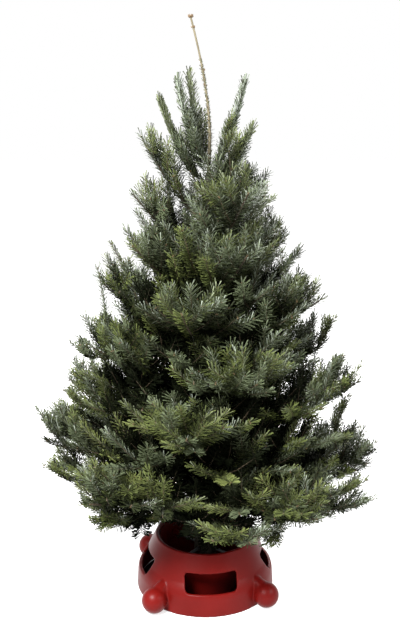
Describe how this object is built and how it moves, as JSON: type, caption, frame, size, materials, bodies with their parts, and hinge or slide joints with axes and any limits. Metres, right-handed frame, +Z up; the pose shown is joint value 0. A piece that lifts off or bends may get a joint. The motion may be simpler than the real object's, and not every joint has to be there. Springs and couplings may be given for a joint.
{
  "type": "cut fir tree in a stand",
  "caption": "Freshly cut, undecorated fir with a bare leader, whorls of boughs and needle foliage, clamped upright in a round moulded plastic stand.",
  "frame": {"origin": "on the floor under the middle of the stand, on the flat underside of the stand's bowl", "axes": "+Z up along the trunk, -Y to the front of the tree, +X to its right"},
  "size_m": [1.0809, 0.9996, 1.8007],
  "materials": {
    "bark": "grey-brown fir bark, matt",
    "bough_wood": "orange-brown twig bark, matt",
    "needles": "dark green needles with silvery undersides, slightly waxy",
    "stand_plastic": "dark red moulded plastic, satin",
    "steel": "zinc-plated steel"
  },
  "bodies": {
    "root": {"trunk": "bark", "bough_1_1": "bough_wood", "foliage_1_1": "needles", "bough_1_2": "bough_wood", "foliage_1_2": "needles", "bough_1_3": "bough_wood", "foliage_1_3": "needles", "bough_1_4": "bough_wood", "foliage_1_4": "needles", "bough_1_5": "bough_wood", "foliage_1_5": "needles", "bough_1_6": "bough_wood", "foliage_1_6": "needles", "bough_2_1": "bough_wood", "foliage_2_1": "needles", "bough_2_2": "bough_wood", "foliage_2_2": "needles", "bough_2_3": "bough_wood", "foliage_2_3": "needles", "bough_2_4": "bough_wood", "foliage_2_4": "needles", "bough_2_5": "bough_wood", "foliage_2_5": "needles", "bough_3_1": "bough_wood", "foliage_3_1": "needles", "bough_3_2": "bough_wood", "foliage_3_2": "needles", "bough_3_3": "bough_wood", "foliage_3_3": "needles", "bough_3_4": "bough_wood", "foliage_3_4": "needles", "foliage_4_1": "needles", "foliage_4_2": "needles", "foliage_4_3": "needles", "foliage_4_4": "needles", "foliage_5_1": "needles", "foliage_5_2": "needles", "foliage_5_3": "needles", "foliage_5_4": "needles", "foliage_6_1": "needles", "foliage_6_2": "needles", "foliage_6_3": "needles", "foliage_6_4": "needles", "foliage_7_1": "needles", "foliage_7_2": "needles", "foliage_7_3": "needles", "foliage_8_1": "needles", "foliage_8_2": "needles", "foliage_8_3": "needles", "top_shoot_1": "needles", "top_shoot_2": "needles", "top_shoot_3": "needles", "top_shoot_4": "needles", "top_shoot_5": "needles", "stand_shell": "stand_plastic", "stand_bowl": "stand_plastic", "clamp_screw_1": "steel", "clamp_screw_2": "steel", "clamp_screw_3": "steel", "clamp_screw_4": "steel"}
  },
  "joints": []
}
